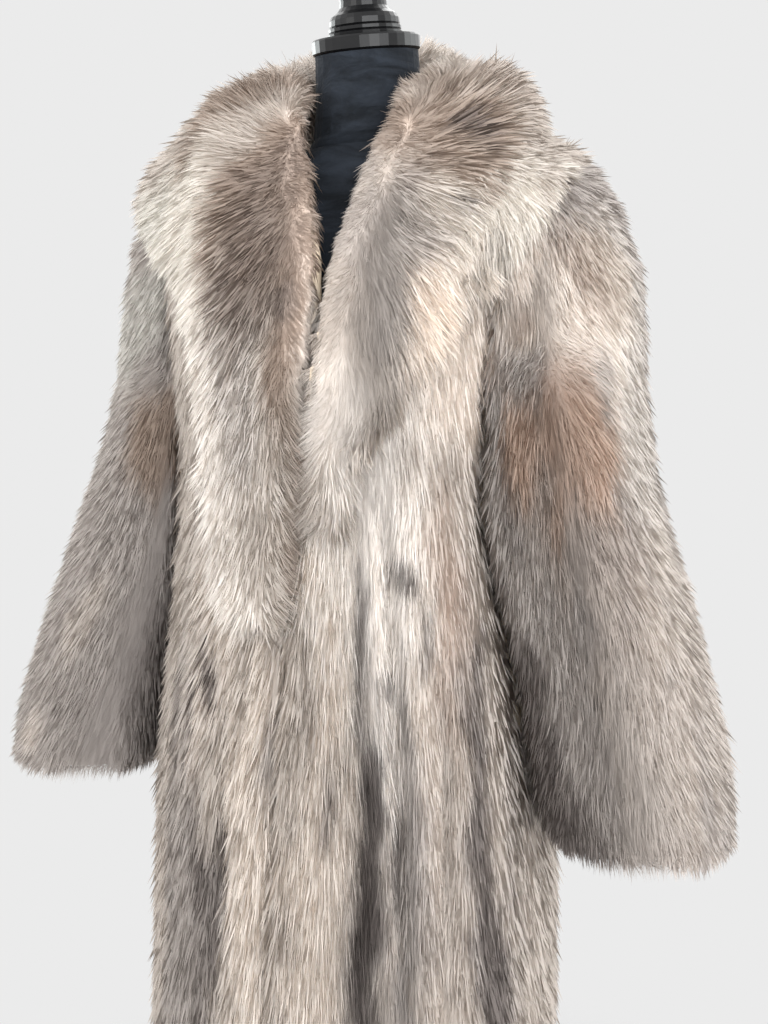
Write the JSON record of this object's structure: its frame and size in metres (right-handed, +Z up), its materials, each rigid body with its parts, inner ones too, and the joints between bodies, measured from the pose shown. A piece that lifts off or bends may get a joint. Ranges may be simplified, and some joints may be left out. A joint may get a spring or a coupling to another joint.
{
  "type": "fur coat on dress form",
  "caption": "Long-haired fur coat with a wide shawl collar, wide sleeves and a wrapped front, worn open at the neck by a limbless black dress form on a round stand.",
  "frame": {"origin": "middle of the flat underside of the round base, on the floor", "axes": "+Z up; the coat's front faces -Y; +X is the wearer's left"},
  "size_m": [0.7825, 0.4085, 1.6134],
  "materials": {
    "long_fur": "long, dense, matt animal-like hair in cream, beige and grey-brown streaks",
    "collar_fur": "longer, fuller hair, creamy white with a grey-brown band along the roll",
    "black_velvet": "short-pile bluish black velvet with a soft sheen",
    "black_lacquer": "turned wood in gloss black lacquer",
    "black_metal": "satin black powder coat"
  },
  "bodies": {
    "root": {"back": "long_fur", "front_left": "long_fur", "front_right": "long_fur", "sleeve_left": "long_fur", "sleeve_right": "long_fur", "collar_left": "collar_fur", "collar_right": "collar_fur", "form_torso": "black_velvet", "neck_cap": "black_lacquer", "finial": "black_lacquer", "pole_flange": "black_metal", "pole": "black_metal", "base": "black_metal"}
  },
  "joints": []
}
